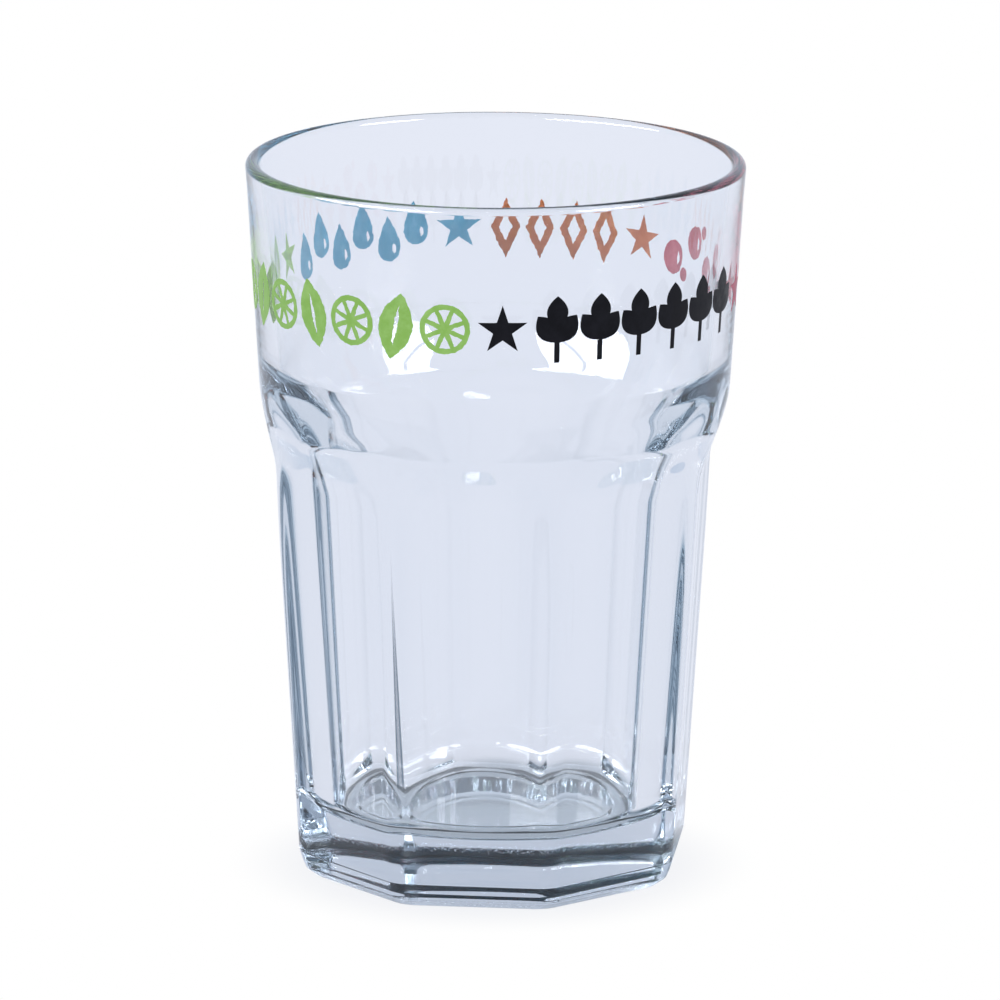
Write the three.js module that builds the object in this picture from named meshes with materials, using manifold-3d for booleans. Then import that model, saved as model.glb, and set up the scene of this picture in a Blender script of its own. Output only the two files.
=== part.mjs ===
// A clear pressed tumbler: a round band with a rolled lip over an eight-sided tapering body,
// and patches of fired enamel round the band. It stands on z = 0 with a flat side facing -Y.
import * as THREE from 'three'
import { mergeVertices } from 'three/addons/utils/BufferGeometryUtils.js'
import Module from 'manifold-3d'

const wasm = await Module()
wasm.setup()

// Outside of the glass, in millimetres. A flat's size is its distance from the axis.
const height = 121
const rimRadius = 41.6
const bandFootRadius = 39.1
const shoulderTopHeight = 80.2
const shoulderFootHeight = 70.7
const flatAtShoulder = 35.4
const flatAtBase = 31.2
const collarFootRadius = 37.6
const collarFootLift = 0.8
const collarTopLift = 2.3
const ridgeWidth = 2.4
const bevelOut = 2.1
const bevelUp = 2.3
const dishRadius = 25
const dishDepth = 0.8

// Inside of the glass. The walls are measured square to the axis.
const baseThickness = 11
const floorFilletReach = 9
const floorFilletRise = 6
const wallAtBase = 4.6
const wallAtShoulder = 3.6
const wallAtBandFoot = 3.3
const wallAtLip = 2.4
const innerShoulderLift = 6.3

// Enamel patches. Widths run round the glass.
const printHeight = 11.2
const printThickness = 0.3
const printClearance = 0.3
const patchGap = 0.4
const starRadius = 4.25
const leafWidth = 6
const veinWidth = 0.7
const sliceRadius = 4.2
const sliceRind = 0.9
const slicePith = 0.7
const sprigLeafLength = 5.6
const sprigLeafWidth = 3.6
const sprigStemWidth = 0.9
const bubbleRadius = 2.9
const smallBubbleRadius = 1.2
const bubbleSwing = 1.9
const diamondWidth = 5.2
const diamondBorder = 1.3
const dropRadius = 2.3
const dropHeight = 8.2
const dropSwing = 1.4
const glintWidth = 0.8

// Counts, and angles in degrees round the glass from -Y towards +X.
const sides = 8
const roundSteps = 72
const arcSteps = 5
const outlineSteps = 8
const starPoints = 5
const slicePips = 8
const starAngles = { black: 7.7, red: 86.5, orange: 144.7, blue: 195.3, green: 257 }
const starMargin = 7.5
const leafTilt = 12
const sprigSpread = 36

// Shares of the size that they follow.
const printMiddleShare = 0.5
const starWaistShare = 0.382
const veinLengthShare = 0.62
const glintReachShare = 0.62
const sprigFootShare = 0.3

// Cutters run past the glass by this much.
const overrun = 5

const halfSide = Math.PI / sides
const lipRadius = wallAtLip / 2
const printMiddleHeight = between(shoulderTopHeight, height, printMiddleShare)

function degrees(angle) {
  return THREE.MathUtils.degToRad(angle)
}

// A closed geometry becomes a solid once its shared vertices are merged.
function solidOf(geometry) {
  geometry.deleteAttribute('normal')
  geometry.deleteAttribute('uv')
  const merged = mergeVertices(geometry)
  const index = merged.index.array
  const kept = []
  for (let i = 0; i < index.length; i += 3) {
    const [a, b, c] = [index[i], index[i + 1], index[i + 2]]
    if (a !== b && b !== c && c !== a) kept.push(a, b, c)
  }
  const vertProperties = merged.attributes.position.array
  return new wasm.Manifold(new wasm.Mesh({ numProp: 3, vertProperties, triVerts: new Uint32Array(kept) }))
}

function geometryOf(solid) {
  const { vertProperties, triVerts } = solid.getMesh()
  const geometry = new THREE.BufferGeometry()
  geometry.setAttribute('position', new THREE.BufferAttribute(vertProperties, 3))
  geometry.setIndex(new THREE.BufferAttribute(triVerts, 1))
  geometry.computeVertexNormals()
  return geometry
}

// A profile is a list of [radius, z], starting and ending on the axis, with its outside going up.
function turned(profile, steps = roundSteps, startAngle = 0) {
  const points = profile.map(([radius, z]) => new THREE.Vector2(radius, z))
  const lathe = new THREE.LatheGeometry(points, steps, startAngle)
  return solidOf(lathe.rotateX(Math.PI / 2))
}

// Points along a circle in the profile's plane, from one angle to another, in degrees.
function arc(centreRadius, centreZ, radius, from, to, steps = arcSteps) {
  const points = []
  for (let i = 0; i <= steps; i += 1) {
    const angle = degrees(from + (to - from) * i / steps)
    points.push([centreRadius + radius * Math.cos(angle), centreZ + radius * Math.sin(angle)])
  }
  return points
}

function between(a, b, share) {
  return a + (b - a) * share
}

// The band is a cone from the top of the shoulder to the rim.
function bandRadiusAt(z) {
  return between(bandFootRadius, rimRadius, (z - shoulderTopHeight) / (height - shoulderTopHeight))
}

// Distance from the axis to a flat side, at a height up to the foot of the shoulder.
function flatAt(z) {
  return between(flatAtBase, flatAtShoulder, z / shoulderFootHeight)
}

// The round blank, before its sides are flattened. A collar narrows it from the band to the ridges.
function blank() {
  const collarTop = shoulderTopHeight + collarTopLift
  return turned([
    [0, 0],
    [collarFootRadius, 0],
    [collarFootRadius, shoulderFootHeight + collarFootLift],
    [bandRadiusAt(collarTop), collarTop],
    ...arc(rimRadius - lipRadius, height - lipRadius, lipRadius, 0, 90),
    [0, height],
  ])
}

// An eight-sided body with a bevelled foot, whose sides slope out to the band at the shoulder.
// With the offset of a ridge it is the body that flattens the ridges.
function sidedBody(offset, startAngle) {
  const rise = shoulderTopHeight - shoulderFootHeight
  const reach = bandFootRadius - flatAtShoulder
  const wideFlat = rimRadius + overrun
  const wideHeight = shoulderFootHeight + (wideFlat - flatAtShoulder) * rise / reach
  const topHeight = Math.max(wideHeight, height) + overrun
  const corner = (flat) => (flat + offset) / Math.cos(halfSide)
  return turned([
    [0, 0],
    [corner(flatAtBase - bevelOut), 0],
    [corner(flatAt(bevelUp)), bevelUp],
    [corner(flatAtShoulder), shoulderFootHeight],
    [corner(wideFlat), wideHeight],
    [corner(wideFlat), topHeight],
    [0, topHeight],
  ], sides, startAngle)
}

// The inside, round all the way: a filleted floor, a slow cone, a soft step at the shoulder and a lip.
function cavity() {
  const floorWall = baseThickness + floorFilletRise
  const lowRadius = flatAt(floorWall) - wallAtBase
  const midRadius = flatAtShoulder - wallAtShoulder
  const stepTop = shoulderTopHeight + innerShoulderLift
  const highRadius = bandRadiusAt(stepTop) - wallAtBandFoot
  const softStep = []
  for (let i = 0; i <= arcSteps; i += 1) {
    const share = i / arcSteps
    const radius = between(midRadius, highRadius, share * share * (3 - 2 * share))
    softStep.push([radius, between(shoulderFootHeight, stepTop, share)])
  }
  const floorFillet = arc(0, 0, 1, -90, 0).map(([across, up]) => [
    lowRadius - floorFilletReach * (1 - across), floorWall + floorFilletRise * up])
  return turned([
    [0, baseThickness],
    ...floorFillet,
    ...softStep,
    ...arc(rimRadius - lipRadius, height - lipRadius, lipRadius, 180, 90),
    [rimRadius - lipRadius, height + overrun],
    [0, height + overrun],
  ])
}

// The shallow dish under the base leaves a flat ring to stand on.
function dish() {
  const capRadius = (dishRadius ** 2 + dishDepth ** 2) / (2 * dishDepth)
  const edgeAngle = THREE.MathUtils.radToDeg(Math.acos(dishRadius / capRadius))
  const cap = arc(0, dishDepth - capRadius, capRadius, edgeAngle, 90)
  cap[cap.length - 1][0] = 0
  return turned([[0, -overrun], [dishRadius, -overrun], ...cap])
}

function glassBody() {
  const ridgeCut = (ridgeWidth / 2) * Math.tan(halfSide)
  const flats = sidedBody(0, halfSide)
  const ridges = sidedBody(flatAtShoulder / Math.cos(halfSide) - flatAtShoulder - ridgeCut, 0)
  return geometryOf(blank().intersect(flats).intersect(ridges).subtract(cavity()).subtract(dish()))
}

// A flat outline, x to the right and y up, becomes a thin plate.
function plate(shape) {
  return solidOf(new THREE.ExtrudeGeometry(shape, {
    depth: printThickness,
    bevelEnabled: false,
    curveSegments: outlineSteps,
  }))
}

// A plate is bent round the band: x runs round the glass, y up it and depth out of it.
function wrapped(solid, angle, rise = 0) {
  const geometry = geometryOf(solid)
  const place = geometry.attributes.position
  const turnRadius = bandRadiusAt(printMiddleHeight) + printClearance
  for (let i = 0; i < place.count; i += 1) {
    const z = printMiddleHeight + rise + place.getY(i)
    const radius = bandRadiusAt(z) + printClearance + place.getZ(i)
    const turn = degrees(angle) + place.getX(i) / turnRadius
    place.setXYZ(i, radius * Math.sin(turn), -radius * Math.cos(turn), z)
  }
  geometry.computeVertexNormals()
  return geometry
}

function polar(radius, angle) {
  return new THREE.Vector2(radius * Math.sin(degrees(angle)), radius * Math.cos(degrees(angle)))
}

function star() {
  const points = []
  for (let i = 0; i < starPoints * 2; i += 1) {
    const radius = i % 2 === 0 ? starRadius : starRadius * starWaistShare
    points.push(polar(radius, i * 180 / starPoints))
  }
  return plate(new THREE.Shape(points))
}

// A leaf is drawn upright by two bowed edges that meet at its tips.
function leafOutline(Path, length, width) {
  const outline = new Path()
  outline.moveTo(0, -length / 2)
  outline.quadraticCurveTo(width, 0, 0, length / 2)
  outline.quadraticCurveTo(-width, 0, 0, -length / 2)
  return outline
}

function mintLeaf(tilt) {
  const leaf = leafOutline(THREE.Shape, printHeight / Math.cos(degrees(leafTilt)), leafWidth)
  leaf.holes.push(leafOutline(THREE.Path, printHeight * veinLengthShare, veinWidth))
  return plate(leaf).rotate([0, 0, tilt])
}

// A slice has a rind and a pith star, with the flesh between them left open.
function limeSlice() {
  const slice = new THREE.Shape().absarc(0, 0, sliceRadius, 0, 2 * Math.PI)
  const fleshRadius = sliceRadius - sliceRind
  const step = 360 / slicePips
  const halfPith = slicePith / 2
  const tipRadius = halfPith / Math.sin(degrees(step / 2))
  const edge = step / 2 - THREE.MathUtils.radToDeg(Math.asin(halfPith / fleshRadius))
  for (let i = 0; i < slicePips; i += 1) {
    const middle = i * step
    slice.holes.push(new THREE.Path([
      polar(tipRadius, middle),
      polar(fleshRadius, middle - edge),
      polar(fleshRadius, middle),
      polar(fleshRadius, middle + edge),
    ]))
  }
  return plate(slice)
}

// A sprig is a stem with one leaf upright and one spread to each side.
function sprig() {
  const foot = -printHeight / 2
  const fork = foot + printHeight * sprigFootShare
  const stem = new THREE.Shape([
    new THREE.Vector2(-sprigStemWidth / 2, foot),
    new THREE.Vector2(sprigStemWidth / 2, foot),
    new THREE.Vector2(sprigStemWidth / 2, fork + sprigStemWidth),
    new THREE.Vector2(-sprigStemWidth / 2, fork + sprigStemWidth),
  ])
  const outline = leafOutline(THREE.Shape, sprigLeafLength, sprigLeafWidth)
  const leaf = plate(outline).translate([0, sprigLeafLength / 2, 0])
  const upright = leaf.translate([0, printHeight / 2 - sprigLeafLength, 0])
  let whole = plate(stem).add(upright)
  for (const side of [-1, 1]) {
    whole = whole.add(leaf.rotate([0, 0, side * sprigSpread]).translate([0, fork, 0]))
  }
  return whole
}

// A glint is a sickle-shaped opening near one side of a round patch.
function glint(radius) {
  const tip = radius * glintReachShare * Math.SQRT1_2
  const bow = -2 * tip
  const sickle = new THREE.Path()
  sickle.moveTo(-tip, tip)
  sickle.quadraticCurveTo(bow, 0, -tip, -tip)
  sickle.quadraticCurveTo(bow + 2 * glintWidth, 0, -tip, tip)
  return sickle
}

function bubble(radius) {
  const disc = new THREE.Shape().absarc(0, 0, radius, 0, 2 * Math.PI)
  if (radius > 2 * glintWidth) disc.holes.push(glint(radius))
  return plate(disc)
}

function diamondOutline(Path, width, tall) {
  return new Path([
    new THREE.Vector2(width / 2, 0),
    new THREE.Vector2(0, tall / 2),
    new THREE.Vector2(-width / 2, 0),
    new THREE.Vector2(0, -tall / 2),
  ])
}

function diamond() {
  const lean = Math.atan2(diamondWidth, printHeight)
  const outer = diamondOutline(THREE.Shape, diamondWidth, printHeight)
  const inset = 2 * diamondBorder
  outer.holes.push(diamondOutline(
    THREE.Path, diamondWidth - inset / Math.cos(lean), printHeight - inset / Math.sin(lean)))
  return plate(outer)
}

// A drop is a round belly with a tip above it, its middle halfway up.
function drop() {
  const bellyHeight = dropRadius - dropHeight / 2
  const outline = new THREE.Shape()
  outline.absarc(0, bellyHeight, dropRadius, Math.PI, 2 * Math.PI)
  outline.quadraticCurveTo(dropRadius, bellyHeight + dropRadius, 0, dropHeight / 2)
  outline.quadraticCurveTo(-dropRadius, bellyHeight + dropRadius, -dropRadius, bellyHeight)
  const opening = glint(dropRadius).getPoints(outlineSteps)
  outline.holes.push(new THREE.Path(opening.map((point) => point.setY(point.y + bellyHeight))))
  return plate(outline)
}

// Clear glass with a slight blue-grey cast, and the five enamel colours.
const glass = new THREE.MeshStandardMaterial({
  color: 0xdde2f0,
  roughness: 0.03,
  metalness: 0,
  transparent: true,
  opacity: 0.35,
  side: THREE.DoubleSide,
})
const enamelColours = { black: 0x17171c, red: 0xc0606f, orange: 0xba7456, blue: 0x619ebc, green: 0x92be5c }
const enamels = {}
for (const [colour, value] of Object.entries(enamelColours)) {
  enamels[colour] = new THREE.MeshStandardMaterial({ color: value, roughness: 0.4, metalness: 0 })
}

const tumbler = new THREE.Group()

function addPiece(name, geometry, material) {
  const piece = new THREE.Mesh(geometry, material)
  piece.name = name
  tumbler.add(piece)
}

// Width of a solid, round the glass.
function widthOf(solid) {
  const box = solid.boundingBox()
  return box.max[0] - box.min[0]
}

// A row fills the space from the star of its colour to the next star with evenly spaced patches,
// as many as fit with a gap between them. The shapes are those that take turns along it.
function rowAngles(colour, shapes) {
  const colours = Object.keys(starAngles)
  const next = colours[(colours.indexOf(colour) + 1) % colours.length]
  const lap = starAngles[next] < starAngles[colour] ? 360 : 0
  const from = starAngles[colour] + starMargin
  const to = starAngles[next] + lap - starMargin
  const width = shapes.reduce((sum, shape) => sum + widthOf(shape), 0) / shapes.length
  const room = degrees(to - from) * (bandRadiusAt(printMiddleHeight) + printClearance)
  const count = Math.max(0, Math.floor(room / (width + patchGap)))
  return Array.from({ length: count }, (_, i) => between(from, to, (i + 0.5) / count))
}

addPiece('glass_body', glassBody(), glass)

for (const [colour, angle] of Object.entries(starAngles)) {
  addPiece(`star_${colour}`, wrapped(star(), angle), enamels[colour])
}

rowAngles('green', [mintLeaf(leafTilt), limeSlice()]).forEach((angle, i) => {
  const number = Math.floor(i / 2) + 1
  if (i % 2 === 0) {
    const tilt = i % 4 === 0 ? leafTilt : -leafTilt
    addPiece(`mint_leaf_${number}`, wrapped(mintLeaf(tilt), angle), enamels.green)
  } else {
    addPiece(`lime_slice_${number}`, wrapped(limeSlice(), angle), enamels.green)
  }
})

rowAngles('black', [sprig()]).forEach((angle, i) => {
  addPiece(`sprig_${i + 1}`, wrapped(sprig(), angle), enamels.black)
})

// Bubbles swing up and down by turns, with a small one clear of each two neighbours.
const bubbleAngles = rowAngles('red', [bubble(bubbleRadius)])
bubbleAngles.forEach((angle, i) => {
  const side = i % 2 === 0 ? 1 : -1
  addPiece(`bubble_${i + 1}`, wrapped(bubble(bubbleRadius), angle, side * bubbleSwing), enamels.red)
  if (i > 0) {
    const middle = between(bubbleAngles[i - 1], angle, 0.5)
    const apart = degrees(angle - middle) * bandRadiusAt(printMiddleHeight)
    const reach = bubbleRadius + smallBubbleRadius + patchGap
    const rise = bubbleSwing + Math.sqrt(Math.max(0, reach ** 2 - apart ** 2))
    addPiece(`small_bubble_${i}`, wrapped(bubble(smallBubbleRadius), middle, side * rise), enamels.red)
  }
})

rowAngles('orange', [diamond()]).forEach((angle, i) => {
  addPiece(`diamond_${i + 1}`, wrapped(diamond(), angle), enamels.orange)
})

rowAngles('blue', [drop()]).forEach((angle, i) => {
  addPiece(`drop_${i + 1}`, wrapped(drop(), angle, i % 2 === 0 ? dropSwing : -dropSwing), enamels.blue)
})

export default tumbler
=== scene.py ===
# %% [markdown]
# # A pressed tumbler with a printed band
# The imported CAD model is the fixed frame of this scene. Everything here is in metres and in the
# same place as in that model, so a new piece needs no fitting.

from math import asin, atan2, cos, degrees, hypot, pi, radians, sin, sqrt

import bpy
from mathutils import Matrix, Vector, noise
from mathutils.geometry import delaunay_2d_cdt


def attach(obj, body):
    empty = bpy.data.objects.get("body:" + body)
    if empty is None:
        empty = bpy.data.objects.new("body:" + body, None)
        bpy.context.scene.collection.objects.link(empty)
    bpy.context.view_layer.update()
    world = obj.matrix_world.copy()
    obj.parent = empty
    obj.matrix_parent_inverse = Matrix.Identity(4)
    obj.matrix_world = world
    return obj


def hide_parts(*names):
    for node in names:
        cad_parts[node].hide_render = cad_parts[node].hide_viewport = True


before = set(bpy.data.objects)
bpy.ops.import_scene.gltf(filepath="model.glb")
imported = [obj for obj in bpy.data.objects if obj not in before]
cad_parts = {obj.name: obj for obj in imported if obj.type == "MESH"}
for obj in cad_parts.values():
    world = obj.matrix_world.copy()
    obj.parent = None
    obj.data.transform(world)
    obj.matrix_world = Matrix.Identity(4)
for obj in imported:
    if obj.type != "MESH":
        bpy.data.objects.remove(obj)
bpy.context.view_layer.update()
MM = 0.001
print("nodes in the frame:", len(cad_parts))

# %% [markdown]
# ## The camera
# The photograph looks down on the glass from far away through a long lens, so its lines hardly
# converge. The numbers come from a fit to the rim's ellipse, the outline and the corners of the
# base. A matrix is used in place of a tracking constraint, because the fit also found a quarter of
# a degree of roll. Angles are in degrees and lengths in millimetres.

# %% Camera
CAMERA_TURN = 5.94
PITCH, ROLL, YAW = 13.365, 0.2805, 0.0353
CAMERA_DISTANCE, CAMERA_HEIGHT = 1592.4, 441.1
LENS, SENSOR = 351.95, 36


def aim(pitch, roll, yaw, distance, height):
    """A camera matrix that looks along +Y from in front of the glass."""
    along = Vector((sin(yaw) * cos(pitch), cos(yaw) * cos(pitch), -sin(pitch)))
    right = Vector((cos(yaw), -sin(yaw), 0))
    up = right.cross(along)
    rolled_right = cos(roll) * right + sin(roll) * up
    rolled_up = cos(roll) * up - sin(roll) * right
    matrix = Matrix((rolled_right, rolled_up, -along)).transposed().to_4x4()
    matrix.translation = (0, -distance, height)
    return matrix


bpy.ops.object.camera_add()
camera = bpy.context.object
camera.name = "camera"
camera.matrix_world = Matrix.Rotation(radians(CAMERA_TURN), 4, "Z") @ aim(
    radians(PITCH), radians(ROLL), radians(YAW), CAMERA_DISTANCE * MM, CAMERA_HEIGHT * MM)
camera.data.sensor_width = SENSOR
camera.data.lens = LENS
camera.data.clip_end = 20
bpy.context.scene.camera = camera
print("camera stands", round(camera.location.length, 3), "m from the foot of the glass")

# %% [markdown]
# ## Small helpers
# Most operators act on whatever is selected, and loading the frame leaves its nodes selected. So
# each piece is made by first selecting nothing and then only what the step needs. Two short
# functions for curves are here too: outlines of the glass and of the print are both drawn from
# straight lines and bows.

# %% Helpers for selecting and finishing
def only(*pieces):
    """Selects just these pieces and makes the first one active."""
    if bpy.context.mode != "OBJECT":
        bpy.ops.object.mode_set(mode="OBJECT")
    bpy.ops.object.select_all(action="DESELECT")
    for piece in pieces:
        piece.select_set(True)
    bpy.context.view_layer.objects.active = pieces[0]


def settle(piece):
    """Moves the object's place, turn and size into its mesh."""
    only(piece)
    bpy.ops.object.transform_apply(location=True, rotation=True, scale=True)


def apply_modifier(piece, kind, **settings):
    """Adds a modifier with these settings and applies it."""
    only(piece)
    modifier = piece.modifiers.new(kind.lower(), kind)
    for name, value in settings.items():
        setattr(modifier, name, value)
    bpy.ops.object.modifier_apply(modifier=modifier.name)


def triangles(piece):
    """How many triangles the piece has, for the counts that the cells print."""
    return sum(len(face.vertices) - 2 for face in piece.data.polygons)


def bow(start, pull, end, steps):
    """Points along a curve from start to end, drawn towards pull. The end itself is left out."""
    return [tuple((1 - t) ** 2 * a + 2 * t * (1 - t) * p + t * t * b
                  for a, p, b in zip(start, pull, end))
            for t in (i / steps for i in range(steps))]


def soften(outline, reaches, steps=6):
    """Rounds the inner corners of an open outline. A reach is how far from its corner a bow starts."""
    out = [outline[0]]
    for before, corner_point, after, reach in zip(outline, outline[1:], outline[2:], reaches):
        ends = []
        for other in (before, after):
            away = hypot(other[0] - corner_point[0], other[1] - corner_point[1])
            ends.append([c + (o - c) * reach / away for c, o in zip(corner_point, other)])
        out += bow(ends[0], corner_point, ends[1], steps) + [tuple(ends[1])]
    return out + [outline[-1]]


def radius_at(outline, z):
    """The first number of an outline at a height, between its points or past its ends."""
    for (r0, z0), (r1, z1) in zip(outline, outline[1:]):
        if z <= z1 and z1 > z0:
            break
    return r0 + (r1 - r0) * (z - z0) / (z1 - z0)


# %% [markdown]
# ## The glass body: how it is made
# The real glass is pressed: a mould gives it the outside, with eight flat sides under a round band,
# and a plunger gives it the round inside. It could be drawn as one grid of points, but the three
# tools that the factory uses are easier to follow: a round blank, an eight-sided mould that presses
# it, and a plunger that hollows it. All sizes are in millimetres. The band, the shoulder, the flats
# and the outline of the foot were read from the photograph, and the inside from the way that it
# bends the lines behind it.

# %% Sizes of the glass
HEIGHT, RIM, BAND_FOOT = 121.0, 41.6, 39.1
SHOULDER_TOP, SHOULDER_FOOT = 80.2, 70.7
COLLAR_TOP, COLLAR_FOOT, COLLAR_RADIUS = 82.5, 71.5, 37.6
FLAT_TOP, FLAT_FOOT = 35.4, 31.2
RIDGE_ROUNDING = 5.5
FOOT = ((28.7, 0), (30.35, 1.3), (30.9, 2.6), (31.46, 4.4))
SOFT_CREASE, SOFT_FOOT, SOFT_COLLAR, SOFT_ARCH = 2.2, 0.2, 1.4, 1.0
LIP = 1.2
FLOOR, FILLET_REACH, FILLET_RISE = 11.0, 5.2, 3.8
WALL_FOOT, WALL_BAND = 4.6, 3.3
STEP_FOOT, STEP_FOOT_RADIUS, STEP_TOP, STEP_BOW = 77.0, 31.9, 88.0, 0.37
HALF_SIDE = pi / 8


def band_radius(z):
    """The outside of the round band, which opens slightly towards the rim."""
    return BAND_FOOT + (RIM - BAND_FOOT) * (z - SHOULDER_TOP) / (HEIGHT - SHOULDER_TOP)


def flat_distance(z):
    """How far the middle of a flat side is from the axis."""
    return FLAT_FOOT + (FLAT_TOP - FLAT_FOOT) * z / SHOULDER_FOOT


# %% [markdown]
# Everything round starts as a disc that is extruded and resized again and again, one ring at a
# time, as a potter pulls up a wall. A screw modifier could turn a profile too, but this way keeps
# the rings' order, which the mould needs later.

# %% A helper that turns a profile ring by ring
def turn(name, profile, segments):
    """A solid made from a disc that is extruded up, ring by ring. The profile holds (radius, height)."""
    bpy.ops.object.select_all(action="DESELECT")
    radius, z = profile[0]
    bpy.ops.mesh.primitive_circle_add(
        vertices=segments, radius=radius * MM, fill_type="NGON", location=(0, 0, z * MM))
    piece = bpy.context.object
    piece.name = name
    settle(piece)
    bpy.ops.object.mode_set(mode="EDIT")
    bpy.ops.mesh.select_all(action="SELECT")
    for next_radius, next_z in profile[1:]:
        bpy.ops.mesh.extrude_region_move(TRANSFORM_OT_translate={"value": (0, 0, (next_z - z) * MM)})
        share = next_radius / radius
        bpy.ops.transform.resize(value=(share, share, 1), center_override=(0, 0, next_z * MM))
        radius, z = next_radius, next_z
    bpy.ops.mesh.select_all(action="SELECT")
    bpy.ops.mesh.remove_doubles(threshold=1e-7)
    bpy.ops.mesh.normals_make_consistent(inside=False)
    bpy.ops.object.mode_set(mode="OBJECT")
    return piece


# %% [markdown]
# The blank is a cylinder up to the shoulder, then a collar and a slightly opening cone. Its top
# edge is rounded over a quarter circle, which is the outer half of the lip. The corners of its
# outline are softened first. It has a ring every quarter of a millimetre at the shoulder, where the
# mould changes its shape most.

# %% The round blank
BLANK_SEGMENTS, TOOL_SEGMENTS, BAND_SEGMENTS = 384, 288, 720
LIP_STEPS = 10
WALL_START, FINE_STEP = 6, 0.25
round_outline = soften([(COLLAR_RADIUS, 0), (COLLAR_RADIUS, COLLAR_FOOT),
                        (band_radius(COLLAR_TOP), COLLAR_TOP),
                        (band_radius(HEIGHT - LIP), HEIGHT - LIP)], (SOFT_COLLAR, SOFT_COLLAR))
outer_lip = [(RIM - LIP + LIP * cos(a), HEIGHT - LIP + LIP * sin(a))
             for a in (pi / 2 * i / LIP_STEPS for i in range(LIP_STEPS + 1))]
foot_outline = soften([(20, 0), *FOOT, (FLAT_TOP, SHOULDER_FOOT)], [SOFT_FOOT] * len(FOOT), 3)
foot_rings = sorted({round(z, 4) for r, z in foot_outline if z < WALL_START})
wall_rings = [WALL_START + (SHOULDER_FOOT - SOFT_CREASE - 1 - WALL_START) * i / 12
              for i in range(1, 13)]
shoulder_rings = [wall_rings[-1] + FINE_STEP * i for i in range(1, 70)]
band_rings = [shoulder_rings[-1] + (HEIGHT - LIP - shoulder_rings[-1]) * i / 9
              for i in range(1, 9)]
rings = [*foot_rings, *wall_rings, *shoulder_rings, *band_rings]
glass = turn("glass_tumbler", [*((radius_at(round_outline, z), z) for z in rings), *outer_lip],
             BLANK_SEGMENTS)
print("blank:", len(rings) + len(outer_lip), "rings,", triangles(glass), "triangles")

# %% [markdown]
# The mould is eight-sided: a stepped foot, tall flats that lean out, and slopes above them that run
# out past the band. An eight-sided solid could be cut with a boolean, but a cut leaves hard arches
# where the flats meet the round band, and molten glass never fills a sharp corner. So the mould is
# a formula here: every point of the blank moves in to the mould's surface, and a soft minimum
# rounds the meeting of the two. The points are first gathered towards the eight ridges, where the
# surface turns fastest.

# %% Press the blank into the eight-sided mould
OVERSHOOT = 6
GATHER = 0.07
crease = (FLAT_TOP, SHOULDER_FOOT)
past = (BAND_FOOT + (BAND_FOOT - FLAT_TOP) * OVERSHOOT,
        SHOULDER_TOP + (SHOULDER_TOP - SHOULDER_FOOT) * OVERSHOOT)
mould_outline = foot_outline[1:-1] + soften([foot_outline[-2], crease, past], [SOFT_CREASE], 12)[1:]


def mould_radius(angle, z):
    """The mould's distance from the axis: flats, and ridges rounded to an arc that touches both flats."""
    flat = radius_at(mould_outline, z)
    sides = angle / (2 * HALF_SIDE) - 0.5
    off = abs(sides - round(sides)) * 2 * HALF_SIDE
    centre = (flat - RIDGE_ROUNDING) / cos(HALF_SIDE)
    if off < atan2(RIDGE_ROUNDING * sin(HALF_SIDE), centre + RIDGE_ROUNDING * cos(HALF_SIDE)):
        return centre * cos(off) + sqrt(RIDGE_ROUNDING ** 2 - (centre * sin(off)) ** 2)
    return flat / cos(HALF_SIDE - off)


def soft_minimum(a, b, reach):
    """The smaller of two lengths, with a round passage where they are nearly the same."""
    share = max(reach - abs(a - b), 0) / reach
    return min(a, b) - share * share * reach / 4


for vertex in glass.data.vertices:
    angle = atan2(vertex.co.y, vertex.co.x)
    angle += GATHER * sin(8 * angle)
    z = vertex.co.z / MM
    radius = soft_minimum(hypot(vertex.co.x, vertex.co.y) / MM, mould_radius(angle, z), SOFT_ARCH)
    vertex.co.x, vertex.co.y = radius * cos(angle) * MM, radius * sin(angle) * MM
glass.data.update()
print("pressed:", len(glass.data.vertices), "points")

# %% [markdown]
# The plunger is the inside of the glass: a flat floor with a faint ring that the plunger's tip
# leaves, a fillet, a slow cone, a step behind the shoulder and the inner half of the lip. The step
# is bowed and steepest at its top, between two tight corners: the upper one draws the bright line
# under the print, the lower one the line above the flats. A plain cone there gave neither.

# %% The plunger
SOFT_STEP_FOOT, SOFT_STEP_TOP = 0.9, 0.7
STEP_RINGS, FILLET_STEPS = 12, 24
LIP_SWEEP = 84
TIP_RING, RING_RISE, RING_WIDTH = 19.6, 0.28, 0.6
TIP_OFFSETS = (-17.6, -12, -6, -1.9, -1.4, -1, -0.7, -0.4, -0.2, 0, 0.2, 0.4, 0.7, 1, 1.4)
fillet_top = FLOOR + FILLET_RISE
low = flat_distance(fillet_top) - WALL_FOOT
high = band_radius(STEP_TOP) - WALL_BAND
floor_edge = low - FILLET_REACH
floor_rings = [(TIP_RING + off, FLOOR + RING_RISE * 2.718 ** (-(off / RING_WIDTH) ** 2))
               for off in (*TIP_OFFSETS, floor_edge - TIP_RING)]
fillet = [(low - FILLET_REACH * (1 - sin(a)), fillet_top - FILLET_RISE * cos(a))
          for a in (pi / 2 * i / FILLET_STEPS for i in range(1, FILLET_STEPS + 1))]
slope = [(STEP_FOOT_RADIUS + (high - STEP_FOOT_RADIUS) * s * (1 + STEP_BOW * (1 - s)),
          STEP_FOOT + (STEP_TOP - STEP_FOOT) * s)
         for s in (i / STEP_RINGS for i in range(STEP_RINGS + 1))]
lip_foot = (RIM - 2 * LIP, HEIGHT - LIP)
step = soften([(low, fillet_top), slope[0], slope[1]], [SOFT_STEP_FOOT], 8)[1:-1] + slope[2:-2]
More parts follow.
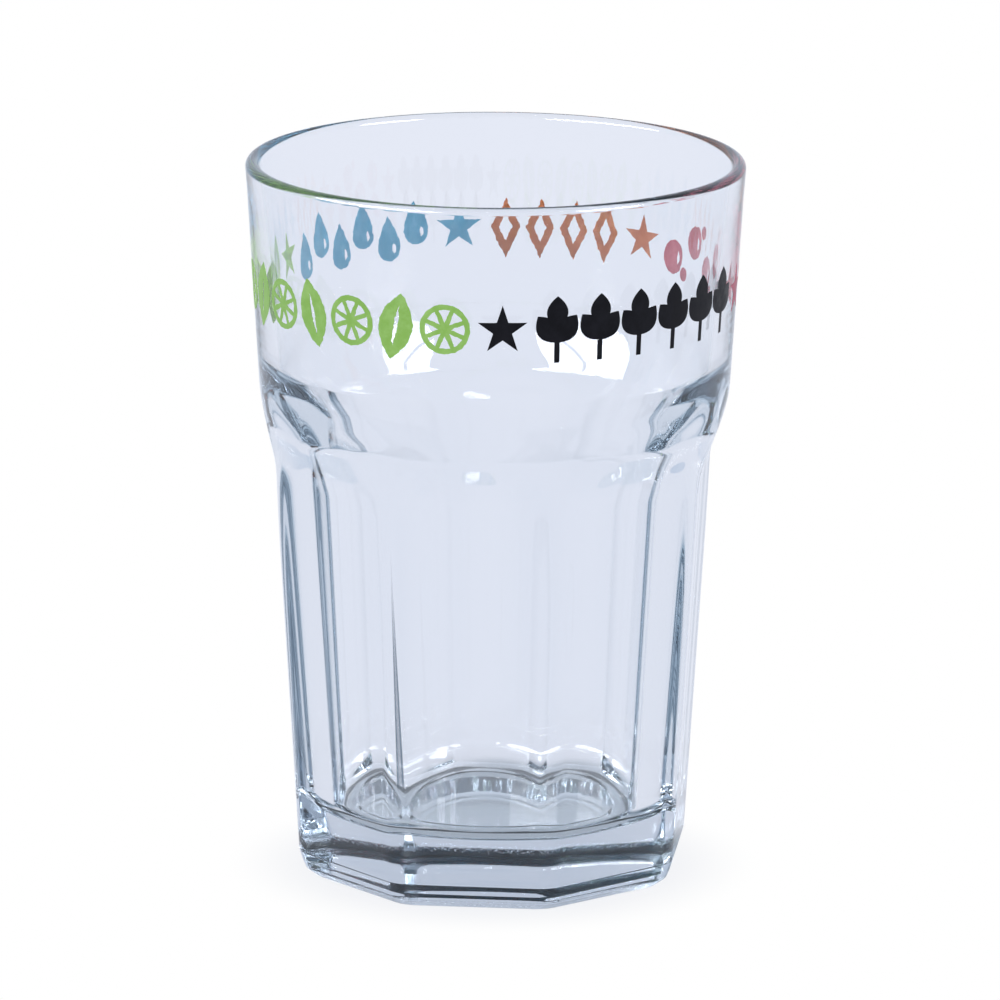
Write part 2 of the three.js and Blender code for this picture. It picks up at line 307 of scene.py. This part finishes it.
step += soften([slope[-2], slope[-1], lip_foot], [SOFT_STEP_TOP], 8)[1:-1]
wall = [(low + (step[0][0] - low) * i / 10, fillet_top + (step[0][1] - fillet_top) * i / 10)
        for i in range(1, 10)]
inner_lip = [(RIM - LIP - LIP * cos(a), HEIGHT - LIP + LIP * sin(a))
             for a in (radians(LIP_SWEEP) * i / LIP_STEPS for i in range(LIP_STEPS + 1))]
plunger = turn("plunger", [*floor_rings, *fillet, *wall, *step, *inner_lip, (RIM - LIP, HEIGHT + 4)],
               TOOL_SEGMENTS)
print("plunger:", triangles(plunger), "triangles")

# %% [markdown]
# The underside is dished, so that the glass stands on a ring near its edge. The cutter is a shallow
# cap of a large ball.

# %% The dish under the base
DISH, DISH_DEPTH = 25.0, 0.8
cap = (DISH ** 2 + DISH_DEPTH ** 2) / (2 * DISH_DEPTH)
dish_rings = [(r, DISH_DEPTH - cap + sqrt(cap * cap - r * r)) for r in
              (DISH * (1 - i / 16) for i in range(16))] + [(0.4, DISH_DEPTH)]
dish = turn("dish", [(DISH, -3), *dish_rings], TOOL_SEGMENTS)

# %% [markdown]
# Two booleans finish the shape: the plunger and the dish are cut away. The exact solver is used,
# since the lip's two halves meet at a shallow angle. Weighted normals keep the large flats
# optically flat while the narrow strips turn smoothly, which matters more on clear glass than on
# anything else.

# %% Hollow the glass and smooth it
apply_modifier(glass, "BOOLEAN", object=plunger, operation="DIFFERENCE", solver="EXACT")
apply_modifier(glass, "BOOLEAN", object=dish, operation="DIFFERENCE", solver="EXACT")
for tool in (plunger, dish):
    bpy.data.objects.remove(tool)
only(glass)
bpy.ops.object.mode_set(mode="EDIT")
bpy.ops.mesh.select_all(action="SELECT")
bpy.ops.mesh.remove_doubles(threshold=2e-6)
bpy.ops.mesh.normals_make_consistent(inside=False)
bpy.ops.object.mode_set(mode="OBJECT")
bpy.ops.object.shade_smooth()
apply_modifier(glass, "WEIGHTED_NORMAL", mode="FACE_AREA", weight=50, keep_sharp=True)
print("glass:", triangles(glass), "triangles")

# %% [markdown]
# ## Shader maths in Python
# A node tree gets long when every sum is built by hand. This small class wraps a socket, so that an
# expression such as 1 - mask * 0.3 adds its own Math nodes.

# %% A wrapper for sockets
class Shade:
    """A socket of the material that is being built."""
    tree = None

    def __init__(self, socket):
        self.socket = socket

    @classmethod
    def node(cls, kind, settings=None, out=0, **inputs):
        """Adds a node, sets it, feeds its sockets, and returns the wrapped output.

        A socket is given by its name, with _ for each space, or by its number, as in _0."""
        made = cls.tree.nodes.new("ShaderNode" + kind)
        for name, value in (settings or {}).items():
            setattr(made, name, value)
        for name, value in inputs.items():
            key = int(name[1:]) if name[0] == "_" else name.replace("_", " ")
            spot = made.inputs[key]
            if isinstance(value, Shade):
                cls.tree.links.new(value.socket, spot)
            elif isinstance(value, tuple) and len(value) == 3 and spot.type == "RGBA":
                spot.default_value = (*value, 1)
            else:
                spot.default_value = value
        return Shade(made.outputs[out])

    def maths(self, operation, other, swap=False):
        first, second = (other, self) if swap else (self, other)
        return Shade.node("Math", {"operation": operation}, _0=first, _1=second)

    def __add__(self, other):
        return self.maths("ADD", other)

    def __sub__(self, other):
        return self.maths("SUBTRACT", other)

    def __rsub__(self, other):
        return self.maths("SUBTRACT", other, swap=True)

    def __mul__(self, other):
        return self.maths("MULTIPLY", other)

    def __truediv__(self, other):
        return self.maths("DIVIDE", other)

    def ramp(self, low, high, to_low=0.0, to_high=1.0):
        """A smooth step from one value to another."""
        return Shade.node("MapRange", {"interpolation_type": "SMOOTHSTEP"}, Value=self, From_Min=low,
                          From_Max=high, To_Min=to_low, To_Max=to_high)

    __radd__, __rmul__ = __add__, __mul__


def mix(factor, first, second):
    """Blends two colours."""
    return Shade.node("Mix", {"data_type": "RGBA"}, out=2, _0=factor, _6=first, _7=second)


def new_material(name):
    """A material with nothing but its output, ready for Shade.node."""
    material = bpy.data.materials.new(name)
    material.use_nodes = True
    material.node_tree.nodes.clear()
    Shade.tree = material.node_tree
    return material


def finish_material(shader):
    """Adds the output of a material and joins a shader to it."""
    output = Shade.tree.nodes.new("ShaderNodeOutputMaterial")
    Shade.tree.links.new(shader.socket, output.inputs["Surface"])


def object_place():
    """Object coordinates."""
    return Shade.node("TexCoord", out="Object")


def parts(vector):
    """The three parts of a vector."""
    split = Shade.node("SeparateXYZ", _0=vector)
    return [Shade(socket) for socket in split.socket.node.outputs]


# %% [markdown]
# ## Clear glass
# Soda-lime glass bends light by an index near 1.5. What makes it read as pressed glass and not as
# crystal is that its faces aren't quite even, so slow ripples run up the flats as a very weak bump.
# Thick glass has a blue-grey cast and thin glass none, so the cast is an absorption in the volume
# and not a colour of the surface.
#
# Three places differ from the rest, and each is a mask made from height, angle and distance from
# the axis. The ring that the glass stands on is a little rough. The bevel above it is stippled, and
# its teeth carry a painted shade: seen from inside the glass they are painted nearly black, which
# draws the ragged dark line through the base. One ridge carries the seam of the mould, and on it a
# painted shade, a slim dark wedge that fades out upwards. The masks are in metres: a pair holds the
# value at which a mask is nought and the value at which it is full. Those of the seam's edge and
# core count in half its width.

# %% Glass material
RIPPLE_RISE, WAVE_RISE, RIB_RISE = 0.000040, 0.000004, 0.00012
BEVEL_TOP, BEVEL_REACH = (0.0020, 0.0012), (0.0272, 0.0280)
RING_TOP, RING_REACH, RING_ROUGHNESS = (0.0006, 0.0003), (0.0238, 0.0244), 0.12
SEAM_PLACE, SEAM_LEAN, SEAM_TIP, SEAM_SPREAD, SEAM_SHADE_STRENGTH = 0.00165, 0.0135, 0.066, 0.0138, 0.85
SEAM_EDGE, SEAM_CORE = (1.15, 0.75), (0.2, 0.7, 0.6, 1.0)
SEAM_TOP, SEAM_FOOT, SEAM_REACH = (0.0640, 0.0400), (0.0200, 0.0225), (0.0320, 0.0326)
SEAM_FRONT = (0.001, -0.001)
TEETH, TEETH_TOP, TEETH_REACH, TEETH_SHADE_STRENGTH = 0.0022, (0.00210, 0.00155), (0.0270, 0.0284), 0.9
CAST, CAST_DENSITY = (0.23, 0.36, 0.49), 10.0

clear_glass = new_material("clear_glass")
place = object_place()
x, y, z = parts(place)
level = Shade.node("CombineXYZ", X=x, Y=y, Z=0.0)
from_axis = Shade.node("VectorMath", {"operation": "LENGTH"}, out="Value", _0=level)
around = Shade.node("Math", {"operation": "ARCTAN2"}, _0=x, _1=y)

tall = Shade.node("Mapping", Vector=place, Scale=(1.0, 1.0, 0.22))
ripples = Shade.node("TexNoise", Vector=tall, Scale=46.0, Detail=1.5, Roughness=0.5)
waves = Shade.node("TexNoise", Vector=place, Scale=150.0, Detail=1.0, Roughness=0.5)
radial = Shade.node("CombineXYZ", X=around, Y=from_axis * 14.0, Z=0.0)
ribs = Shade.node("TexNoise", Vector=radial, Scale=110.0, Detail=1.0, Roughness=0.5)
bevel = z.ramp(*BEVEL_TOP) * from_axis.ramp(*BEVEL_REACH)
relief = ripples * RIPPLE_RISE + waves * WAVE_RISE + ribs * bevel * RIB_RISE
bump = Shade.node("Bump", Strength=1.0, Distance=1.0, Height=relief)

ring = z.ramp(*RING_TOP) * from_axis.ramp(*RING_REACH)
pane = Shade.node("BsdfPrincipled", Base_Color=(0.985, 0.99, 1.0), Metallic=0.0,
                  Roughness=ring * RING_ROUGHNESS, IOR=1.5, Normal=bump, Transmission_Weight=1.0)

# The seam's dark wedge is a painted shade: a dark matt coat mixed into the glass on the front ridge, for
# the dark that the seam bends into view.
across = x * cos(HALF_SIDE) - y * sin(HALF_SIDE) - (SEAM_PLACE - z * SEAM_LEAN)
share = Shade.node("Math", {"operation": "ABSOLUTE"}, _0=across / ((SEAM_TIP - z) * SEAM_SPREAD))
seam_shade_mask = share.ramp(*SEAM_EDGE) * share.ramp(*SEAM_CORE) * z.ramp(*SEAM_TOP)
seam_shade_mask = seam_shade_mask * z.ramp(*SEAM_FOOT) * from_axis.ramp(*SEAM_REACH) * y.ramp(*SEAM_FRONT)
painted_seam_shade = Shade.node("BsdfPrincipled", Base_Color=(0.07, 0.13, 0.19), Metallic=0.0, Roughness=0.4,
                       IOR=1.5)
pane = Shade.node("MixShader", _0=seam_shade_mask * SEAM_SHADE_STRENGTH, _1=pane, _2=painted_seam_shade)

# The dark teeth are a painted shade: a nearly black matt coat on the inner side of the bevel only, for
# the dark that the glass shows there.
turned = Shade.node("CombineXYZ", X=around, Y=0.0, Z=0.0)
teeth = Shade.node("TexNoise", Vector=turned, Scale=48.0, Detail=3.0, Roughness=0.85)
inside = Shade.node("NewGeometry", out="Backfacing")
stipple_shade_mask = (z + teeth * TEETH).ramp(*TEETH_TOP) * from_axis.ramp(*TEETH_REACH) * inside
painted_stipple_shade = Shade.node("BsdfPrincipled", Base_Color=(0.012, 0.030, 0.042), Metallic=0.0,
                          Roughness=0.5, IOR=1.5)
pane = Shade.node("MixShader", _0=stipple_shade_mask * TEETH_SHADE_STRENGTH, _1=pane, _2=painted_stipple_shade)
finish_material(pane)
absorption = Shade.node("VolumeAbsorption", Color=CAST, Density=CAST_DENSITY)
output = clear_glass.node_tree.nodes["Material Output"]
clear_glass.node_tree.links.new(absorption.socket, output.inputs["Volume"])
glass.data.materials.clear()
glass.data.materials.append(clear_glass)
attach(glass, "root")
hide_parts("glass_body")
print("glass material:", len(clear_glass.node_tree.nodes), "nodes")

# %% [markdown]
# ## Fired enamel
# The print is ceramic ink that was screened on and fired. It is opaque, has a satin gloss, and is a
# little uneven: thin spots, a fine grain from the screen, and a ragged edge. Five inks share one
# recipe and differ in colour.

# %% Enamel materials
INKS = {
    "black": ((0.0026, 0.0026, 0.0050), (0.006, 0.006, 0.010)),
    "red": ((0.45, 0.080, 0.118), (0.58, 0.15, 0.20)),
    "orange": ((0.54, 0.152, 0.057), (0.65, 0.23, 0.105)),
    "blue": ((0.12, 0.42, 0.63), (0.19, 0.50, 0.70)),
    "green": ((0.33, 0.60, 0.12), (0.41, 0.68, 0.18)),
}


def enamel(name, deep, thin):
    """One ink: its full colour, and its colour where the coat is thin."""
    material = new_material("enamel_" + name)
    place = object_place()
    cloud = Shade.node("TexNoise", Vector=place, Scale=420.0, Detail=3.0, Roughness=0.6)
    grain = Shade.node("TexNoise", Vector=place, Scale=2600.0, Detail=2.0, Roughness=0.6)
    worn = (cloud * 0.75 + grain * 0.25).ramp(0.38, 0.68)
    colour = mix(worn, deep, thin)
    bump = Shade.node("Bump", Strength=0.5, Distance=0.00004, Height=grain * 0.6 + cloud)
    ink = Shade.node("BsdfPrincipled", Base_Color=colour, Metallic=0.0, Roughness=0.33 + worn * 0.2,
                     IOR=1.5, Specular_IOR_Level=0.12, Normal=bump)
    finish_material(ink)
    return material


enamels = {name: enamel(name, *tones) for name, tones in INKS.items()}
print("inks:", ", ".join(enamels))

# %% [markdown]
# ## The printed patches
# Each patch starts as a flat drawing, a two-dimensional curve whose inner outlines become openings.
# It is turned into a mesh, cut into narrow strips so that it can bend, laid on the round band with
# a shrinkwrap, and given a thickness of less than a tenth of a millimetre. Half of that is sunk in
# the glass, because fired enamel is fused to it, and light inside the glass has to meet the ink
# with no air between. The cuts are shifted a little, so that none runs through the drawing's own
# points. The noise that makes the edge uneven has a seed of its own, so that it is the same each
# time.

# %% Drawing, laying and turning a patch
PRINT_MIDDLE = (SHOULDER_TOP + HEIGHT) / 2
PRINT_HEIGHT = 11.2
INK = 0.08
STRIP, STRIP_SHIFT = 0.8, 0.013
IN_FRONT = 60
noise.seed_set(1)


def dense(points, step=0.22):
    """The same closed outline with a point every step millimetres."""
    out = []
    for (ax, ay), (bx, by) in zip(points, points[1:] + points[:1]):
        count = max(1, round(hypot(bx - ax, by - ay) / step))
        out += [(ax + (bx - ax) * i / count, ay + (by - ay) * i / count) for i in range(count)]
    return out


def ragged(points, amount, seed):
    """Moves the points of an outline about, as the edge of a worn stencil does."""
    if not amount:
        return points
    out = []
    for px, py in dense(points):
        shift = noise.noise_vector(Vector((px * 1.5, py * 1.5, seed * 7.3)))
        fine = noise.noise_vector(Vector((px * 4.5, py * 4.5, seed * 3.1)))
        out.append((px + amount * (shift.x + 0.6 * fine.x), py + amount * (shift.y + 0.6 * fine.y)))
    return out


def lay_patch(node, outlines, colour, turn_by, rise=0.0, rough=0.0, seed=0):
    """Makes one patch from closed outlines in millimetres and lays it on the band."""
    drawing = bpy.data.curves.new(node, "CURVE")
    drawing.dimensions, drawing.fill_mode = "2D", "BOTH"
    for number, outline in enumerate(outlines):
        outline = ragged(outline, rough, seed + number)
        line = drawing.splines.new("POLY")
        line.points.add(len(outline) - 1)
        for point, (px, py) in zip(line.points, outline):
            point.co = (px * MM, py * MM, 0, 1)
        line.use_cyclic_u = True
    patch = bpy.data.objects.new("enamel_" + node, drawing)
    bpy.context.scene.collection.objects.link(patch)
    only(patch)
    bpy.ops.object.convert(target="MESH")
    patch = bpy.context.object
    patch.rotation_euler = (pi / 2, 0, 0)
    patch.location = (0, -IN_FRONT * MM, (PRINT_MIDDLE + rise) * MM)
    settle(patch)
    bpy.ops.object.mode_set(mode="EDIT")
    reach = max(abs(px) for outline in outlines for px, py in outline)
    cuts = int(reach / STRIP)
    for i in range(-cuts, cuts + 1):
        bpy.ops.mesh.select_all(action="SELECT")
        bpy.ops.mesh.bisect(plane_co=((i * STRIP + STRIP_SHIFT) * MM, 0, 0), plane_no=(1, 0, 0))
    bpy.ops.mesh.select_all(action="SELECT")
    bpy.ops.mesh.remove_doubles(threshold=1e-6)
    bpy.ops.mesh.normals_make_consistent(inside=False)
    bpy.ops.object.mode_set(mode="OBJECT")
    apply_modifier(patch, "SHRINKWRAP", target=band, wrap_method="PROJECT", use_project_y=True,
                   use_positive_direction=True, use_negative_direction=False, offset=0.0)
    apply_modifier(patch, "SOLIDIFY", thickness=INK * MM, offset=0.0)
    patch.rotation_euler = (0, 0, radians(turn_by))
    settle(patch)
    bpy.ops.object.mode_set(mode="EDIT")
    bpy.ops.mesh.select_all(action="SELECT")
    bpy.ops.mesh.normals_make_consistent(inside=False)
    bpy.ops.object.mode_set(mode="OBJECT")
    bpy.ops.object.shade_smooth_by_angle(angle=radians(40))
    patch.data.materials.clear()
    patch.data.materials.append(enamels[colour])
    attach(patch, "root")
    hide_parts(node)
    "enamel_" + colour
    return patch


band = turn("band", [(band_radius(z), z) for z in (88, 112)], BAND_SEGMENTS)

# %% [markdown]
# The drawings are plain shapes that suit a long drink: leaves, slices of lime, bubbles, drops,
# diamonds and small sprigs. Each is a function that returns its outlines. A curve leaves a hole
# wherever two outlines overlap, so the sprig's stem and leaves are first joined into one outline.

# %% Outlines
def polar(radius, angle):
    """A point at an angle in degrees, counted from straight up."""
    return radius * sin(radians(angle)), radius * cos(radians(angle))


def circle(radius, steps=64):
    return [(radius * cos(2 * pi * i / steps), radius * sin(2 * pi * i / steps)) for i in range(steps)]


def star_outline(radius=4.25, waist=0.382):
    return [polar(radius if i % 2 == 0 else radius * waist, i * 36) for i in range(10)]


def leaf_outline(length, width, steps=24):
    """Two bowed edges that meet at the tips. Each reaches half of the given width from the middle."""
    side = bow((0, -length / 2), (width, 0), (0, length / 2), steps)
    return side + [(-px, -py) for px, py in side]


def turned_outline(points, angle, cx=0.0, cy=0.0):
    """The same outline, turned by degrees and moved."""
    c, s = cos(radians(angle)), sin(radians(angle))
    return [(cx + px * c - py * s, cy + px * s + py * c) for px, py in points]


def glint_outline(radius, cy=0.0, width=0.8, share=0.62):
    """A small crescent at the left of a round shape, left open as a highlight."""
    tip = radius * share * sqrt(0.5)
    outer = bow((-tip, cy + tip), (-2 * tip, cy), (-tip, cy - tip), 12)
    return outer + bow((-tip, cy - tip), (-2 * tip + 2 * width, cy), (-tip, cy + tip), 12)


def slice_outlines(radius=4.2, rind=0.9, pith=0.7, pips=8):
    """A round slice with a window for each wedge of flesh."""
    flesh = radius - rind
    step_angle = 360 / pips
    tip = pith / 2 / sin(radians(step_angle / 2))
    edge = step_angle / 2 - degrees(asin(pith / 2 / flesh))
    outlines = [circle(radius)]
    for i in range(pips):
        middle_angle = i * step_angle
        arc = [polar(flesh, middle_angle - edge + 2 * edge * j / 8) for j in range(9)]
        outlines.append([polar(tip + 0.15, middle_angle), *arc])
    return outlines


def joined(outlines):
    """The outlines round overlapping shapes taken together."""
    points, shapes = [], []
    for outline in outlines:
        shapes.append(list(range(len(points), len(points) + len(outline))))
        points += [Vector(p) for p in outline]
    spots, _, faces, *_ = delaunay_2d_cdt(points, [], shapes, 1, 1e-5)
    ways = {(a, b) for face in faces for a, b in zip(face, face[1:] + face[:1])}
    onward = {a: b for a, b in ways if (b, a) not in ways}
    loops = []
    while onward:
        at, onto = onward.popitem()
        loop = [at]
        while onto != loop[0]:
            loop.append(onto)
            onto = onward.pop(onto)
        loops.append([tuple(spots[i]) for i in loop])
    return loops


def sprig_outlines(half=0.45, overlap=0.9, length=5.6, width=3.6, lean=36):
    """A stem, a leaf that stands up and two that lean out where it forks."""
    foot_y, fork = -PRINT_HEIGHT / 2, -PRINT_HEIGHT / 2 + PRINT_HEIGHT * 0.3
    stem = [(-half, foot_y), (half, foot_y), (half, fork + overlap), (-half, fork + overlap)]
    leaf = [(px, py + length / 2) for px, py in leaf_outline(length, width)]
    upright = [(px, py + PRINT_HEIGHT / 2 - length) for px, py in leaf]
    return joined([stem, upright, *(turned_outline(leaf, side * lean, 0, fork) for side in (-1, 1))])


def diamond_outlines(width=5.2, border=1.3):
    """A diamond with a smaller one cut out of it."""
    def kite(w, h):
        return [(w / 2, 0), (0, h / 2), (-w / 2, 0), (0, -h / 2)]
    lean = atan2(width, PRINT_HEIGHT)
    return [kite(width, PRINT_HEIGHT),
            kite(width - 2 * border / cos(lean), PRINT_HEIGHT - 2 * border / sin(lean))]


def drop_outlines(radius=2.3, tall=8.2):
    """A half circle for the belly and two bows that meet at the tip, with a crescent cut out."""
    belly, top = radius - tall / 2, (0, tall / 2)
    low_half = [(radius * cos(a), belly + radius * sin(a))
                for a in (pi + pi * i / 32 for i in range(32))]
    right = bow((radius, belly), (radius, belly + radius), top, 16)
    left = bow(top, (-radius, belly + radius), (-radius, belly), 16)
    return [low_half + right + left, glint_outline(radius, belly)]


# %% [markdown]
# Five stars divide the band, and each is followed by a row in its colour. The row's places are
# worked out as they are in the CAD model, so every patch lands on its node.

# %% Print the band
STARS = {"black": 7.7, "red": 86.5, "orange": 144.7, "blue": 195.3, "green": 257.0}
ROWS = {"black": 6, "red": 4, "orange": 4, "blue": 6, "green": 8}
MARGIN = 7.5
ROUGH = {"black": 0.0, "red": 0.2, "orange": 0.2, "blue": 0.2, "green": 0.2}
LEAF_WIDTH, VEIN_WIDTH, VEIN_SHARE, LEAF_TILT = 6, 0.7, 0.62, 12
BUBBLE, SMALL_BUBBLE, BUBBLE_RISE, BUBBLES_APART = 2.9, 1.2, 1.9, 4.5
DROP_RISE = 1.4
patches = []


def row_angles(colour):
    """Even places round the band between a star and the one that follows it."""
    colours = list(STARS)
    follower = colours[(colours.index(colour) + 1) % len(colours)]
    start = STARS[colour] + MARGIN
    end = STARS[follower] + (360 if STARS[follower] < STARS[colour] else 0) - MARGIN
    return [start + (end - start) * (i + 0.5) / ROWS[colour] for i in range(ROWS[colour])]


def print_patch(node, outlines, colour, turn_by, seed, rise=0.0, wear=1.0):
    """Lays a patch whose edge is as rough as that of its ink, or less."""
    patches.append(lay_patch(node, outlines, colour, turn_by, rise, wear * ROUGH[colour], seed))


for number, (colour, star_angle) in enumerate(STARS.items()):
    print_patch("star_" + colour, [star_outline()], colour, star_angle, number, wear=0.5)
for i, row_angle in enumerate(row_angles("green")):
    number = i // 2 + 1
    if i % 2 == 0:
        tilt = LEAF_TILT if i % 4 == 0 else -LEAF_TILT
        leaf = [leaf_outline(PRINT_HEIGHT / cos(radians(LEAF_TILT)), LEAF_WIDTH),
                leaf_outline(PRINT_HEIGHT * VEIN_SHARE, VEIN_WIDTH)]
        outlines = [turned_outline(outline, tilt) for outline in leaf]
        print_patch(f"mint_leaf_{number}", outlines, "green", row_angle, 20 + i)
    else:
        print_patch(f"lime_slice_{number}", slice_outlines(), "green", row_angle, 20 + i, wear=0.6)
for i, row_angle in enumerate(row_angles("black")):
    print_patch(f"sprig_{i + 1}", sprig_outlines(), "black", row_angle, 40 + i)
bubble_angles = row_angles("red")
for i, row_angle in enumerate(bubble_angles):
    side = 1 if i % 2 == 0 else -1
    print_patch(f"bubble_{i + 1}", [circle(BUBBLE), glint_outline(BUBBLE)], "red", row_angle, 60 + i,
                rise=BUBBLE_RISE * side)
    if i:
        between = (bubble_angles[i - 1] + row_angle) / 2
        apart = radians(row_angle - between) * band_radius(PRINT_MIDDLE)
        up = BUBBLE_RISE + sqrt(max(0.0, BUBBLES_APART ** 2 - apart ** 2))
        print_patch(f"small_bubble_{i}", [circle(SMALL_BUBBLE)], "red", between, 70 + i, rise=up * side,
                    wear=0.6)
for i, row_angle in enumerate(row_angles("orange")):
    print_patch(f"diamond_{i + 1}", diamond_outlines(), "orange", row_angle, 80 + i)
for i, row_angle in enumerate(row_angles("blue")):
    print_patch(f"drop_{i + 1}", drop_outlines(), "blue", row_angle, 90 + i,
                rise=DROP_RISE if i % 2 == 0 else -DROP_RISE)
bpy.data.objects.remove(band)
print("patches:", len(patches), "with", sum(triangles(p) for p in patches), "triangles")

# %% [markdown]
# ## The studio
# Clear glass has no look of its own: it shows the room. The room here is a pale grey-blue all
# round. It has a slightly darker flag at either side, soft vertical folds as a cloth backdrop has,
# and a dark ceiling, which the glass shows only where it is thick. Light that has been bounced
# about inside the glass for long comes out darker, and that draws the steel-blue lines along the
# walls. The camera itself sees plain white.

# %% World
FILL = (0.815, 0.845, 0.935)
DIM = (0.55, 0.69, 0.75)
LEFT_FLAG, RIGHT_FLAG = (0.74, 0.81, 0.87), (0.72, 0.79, 0.86)
OVERHEAD = (0.24, 0.35, 0.42)
ZENITH = (0.010, 0.015, 0.021)
FOLD = (0.93, 0.95, 0.97)
WHITE = (1.0, 1.0, 1.0)
LONG_START, LONG_SPAN = 4.0, 6.0
world = bpy.data.worlds.new("studio")
bpy.context.scene.world = world
world.use_nodes = True
world.node_tree.nodes.clear()
Shade.tree = world.node_tree


def light_path(name):
    """What the renderer knows about the light that it follows."""
    return Shade.node("LightPath", out=name)


def long_path():
    """0 for light that crossed two walls, 1 for light that was bounced about inside the glass."""
    return Shade.node("Clamp", _0=(light_path("Ray Depth") - LONG_START) / LONG_SPAN)


def times(colour, factor, tone):
    """The colour, multiplied by a tone as far as the factor says."""
    return Shade.node("Mix", {"data_type": "RGBA", "blend_type": "MULTIPLY"}, out=2, _0=factor, _6=colour,
                      _7=tone)


direction = Shade.node("TexCoord", out="Generated")
height = parts(direction)[2]
to_right = (cos(radians(CAMERA_TURN)), sin(radians(CAMERA_TURN)), 0)
sideways = Shade.node("VectorMath", {"operation": "DOT_PRODUCT"}, out="Value", _0=direction, _1=to_right)
room = mix(height.ramp(sin(radians(38)), sin(radians(54))), FILL, OVERHEAD)
room = mix(height.ramp(sin(radians(52)), sin(radians(60))), room, ZENITH)
room = times(room, sideways.ramp(-0.35, -0.85), LEFT_FLAG)
room = times(room, sideways.ramp(0.45, 0.95), RIGHT_FLAG)
folds = Shade.node("Mapping", Vector=direction, Scale=(36.0, 36.0, 7.0))
folds = Shade.node("TexNoise", Vector=folds, Scale=1.0, Detail=1.5, Roughness=0.5)
room = times(room, folds.ramp(0.45, 0.75), FOLD)
room = times(room, long_path(), DIM)
room = mix(light_path("Is Camera Ray"), room, WHITE)
background = Shade.node("Background", Color=room, Strength=1.0)
output = world.node_tree.nodes.new("ShaderNodeOutputWorld")
world.node_tree.links.new(background.socket, output.inputs["Surface"])

# %% [markdown]
# The floor is plain and pale. The camera sees it white, with a soft shadow round the foot. Light
# that comes through the glass sees it in the room's colour, and darker under the base, where the
# glass shades it. That shade lies a little to the right, because more light comes from the left.

# %% Floor
SHADE, SHADOW = (0.40, 0.455, 0.53), (0.88, 0.89, 0.92)
SHADE_REACH, SHADOW_REACH = (0.029, 0.040), (0.026, 0.046)
SHADE_SHIFT = 5
bpy.ops.object.select_all(action="DESELECT")
bpy.ops.mesh.primitive_circle_add(
    vertices=128, radius=4.0, fill_type="NGON", location=(0, 0, -0.05 * MM))
floor = bpy.context.object
floor.name = "floor"
settle(floor)
pale_floor = new_material("pale_floor")
place = object_place()
from_axis = Shade.node("VectorMath", {"operation": "LENGTH"}, out="Value", _0=place)
beside = Shade.node("VectorMath", {"operation": "DISTANCE"}, out="Value", _0=place,
                    _1=(SHADE_SHIFT * MM, 0, 0))
shaded = mix(beside.ramp(*SHADE_REACH), SHADE, FILL)
shaded = times(shaded, long_path(), DIM)
seen = mix(from_axis.ramp(*SHADOW_REACH), SHADOW, WHITE)
colour = mix(light_path("Is Camera Ray"), shaded, seen)
finish_material(Shade.node("Emission", Color=colour, Strength=1.0))
floor.data.materials.append(pale_floor)

# %% [markdown]
# Three oval softboxes give the highlights: the white patches on the inner shoulder behind the print
# and the glints along the fillet of the floor. Matt surfaces don't get their light, so the colours
# of the print come from the room alone. Each row holds the azimuth and the elevation in degrees,
# the width and the height in metres, and the power in watts.

# %% Softboxes
SOFTBOXES = [(57, 30, 0.62, 0.40, 8.5), (-50, 30, 0.85, 0.42, 10), (-78, 27, 0.52, 0.34, 5)]
SOFTBOX_DISTANCE = 1.05
middle = Vector((0, 0, 60 * MM))
for number, (azimuth, elevation, wide, tall_side, power) in enumerate(SOFTBOXES):
    turn_to = radians(azimuth + CAMERA_TURN)
    rise = radians(elevation)
    towards = Vector((sin(turn_to) * cos(rise), -cos(turn_to) * cos(rise), sin(rise)))
    spot = SOFTBOX_DISTANCE * towards + middle
    bpy.ops.object.light_add(type="AREA", location=spot)
    softbox = bpy.context.object
    softbox.name = f"softbox_{number + 1}"
    softbox.rotation_euler = (middle - spot).to_track_quat("-Z", "Y").to_euler()
    softbox.data.shape, softbox.data.size, softbox.data.size_y = "ELLIPSE", wide, tall_side
    softbox.data.energy = power
    softbox.visible_camera = False
    softbox.visible_diffuse = False
    print(softbox.name, "at", [round(v, 2) for v in spot])

# %% [markdown]
# Light has to cross many faces of the glass before it leaves, so the paths are allowed to be long.
# Colours go out as they are, with no film curve.

# %% Render settings that belong to the glass
LONG_PATH, SHORT_PATH = 24, 16
scene = bpy.context.scene
scene.view_settings.view_transform = "Standard"
scene.cycles.max_bounces = scene.cycles.transmission_bounces = LONG_PATH
scene.cycles.glossy_bounces = scene.cycles.transparent_max_bounces = SHORT_PATH
scene.cycles.use_denoising = True
